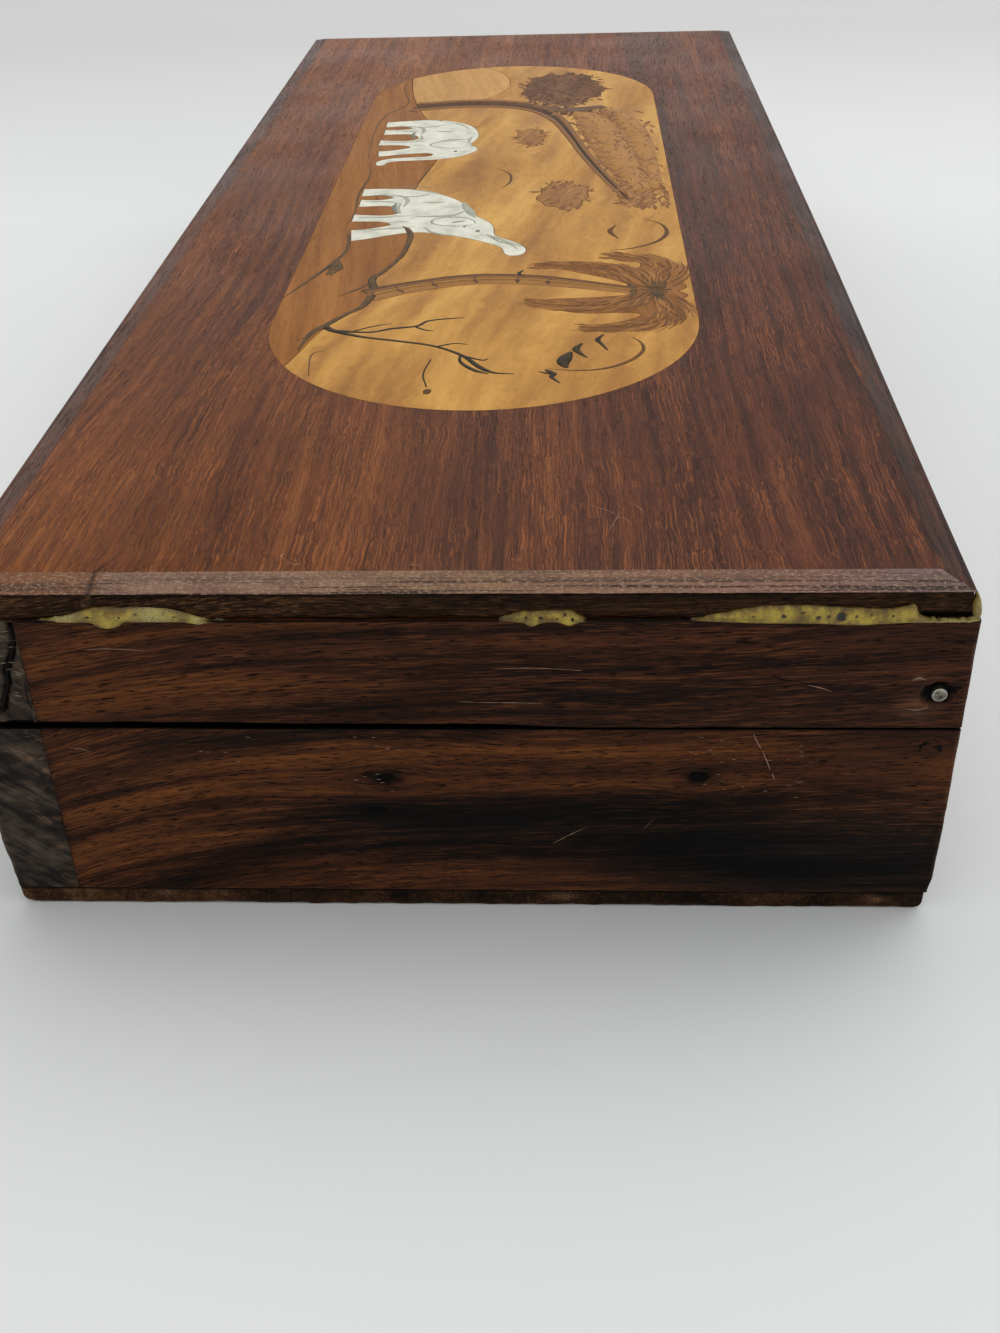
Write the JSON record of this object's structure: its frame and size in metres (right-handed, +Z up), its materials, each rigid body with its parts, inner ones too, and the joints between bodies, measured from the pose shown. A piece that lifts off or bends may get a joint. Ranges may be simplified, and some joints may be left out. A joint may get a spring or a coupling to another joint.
{
  "type": "trinket box",
  "caption": "Long low rosewood trinket box with a hinged lid and a round-ended inlaid picture in the lid.",
  "frame": {"origin": "centre of the base's underside, on the surface that the box stands on", "axes": "+X along the box to its right end as seen from the front, +Y to the back with the hinges, +Z up"},
  "size_m": [0.2583, 0.1035, 0.0404],
  "materials": {
    "lid_rosewood": "waxed rosewood, half gloss",
    "board_rosewood": "dark figured rosewood, half gloss",
    "base_wood": "dull brown",
    "satinwood": "polished",
    "pale_wood": "polished",
    "ground_wood": "polished",
    "brown_wood": "polished",
    "dark_wood": "polished",
    "bone_white": "polished bone-like white",
    "dried_glue": "dried glue, slightly glossy",
    "wood_filler": "dull",
    "brad_steel": "filed",
    "hinge_brass": "aged brass"
  },
  "bodies": {
    "box_body": {"base_panel": "base_wood", "base_panel_pins": "brad_steel", "body_front_board": "board_rosewood", "body_back_board": "board_rosewood", "body_right_end_board": "board_rosewood", "body_left_end_board": "board_rosewood", "body_corner_brads": "brad_steel", "body_brad_plugs": "wood_filler", "left_hinge_body_leaf": "hinge_brass", "left_hinge_body_screws": "hinge_brass", "left_hinge_pin": "hinge_brass", "right_hinge_body_leaf": "hinge_brass", "right_hinge_body_screws": "hinge_brass", "right_hinge_pin": "hinge_brass"},
    "lid": {"lid_slab": "lid_rosewood", "lid_front_rail": "board_rosewood", "lid_back_rail": "board_rosewood", "lid_right_end_rail": "board_rosewood", "lid_left_end_rail": "board_rosewood", "lid_corner_brads": "brad_steel", "glue_bead_front": "dried_glue", "glue_bead_middle": "dried_glue", "glue_bead_back_corner": "dried_glue", "inlay_leading_elephant": "bone_white", "inlay_following_elephant": "bone_white", "inlay_palm_trunk": "brown_wood", "inlay_palm_fronds": "brown_wood", "inlay_tree": "dark_wood", "inlay_ground": "ground_wood", "inlay_foliage": "brown_wood", "inlay_tree_crown": "dark_wood", "inlay_pale_mound": "pale_wood", "inlay_sky": "satinwood", "left_hinge_lid_leaf": "hinge_brass", "left_hinge_lid_screws": "hinge_brass", "right_hinge_lid_leaf": "hinge_brass", "right_hinge_lid_screws": "hinge_brass"}
  },
  "joints": [
    {"name": "lid_hinge", "type": "hinge", "parent": "box_body", "child": "lid", "pos_m": [0, 0.0519, 0.02415], "axis": [-1, 0, 0], "range_deg": [0, 180]}
  ]
}
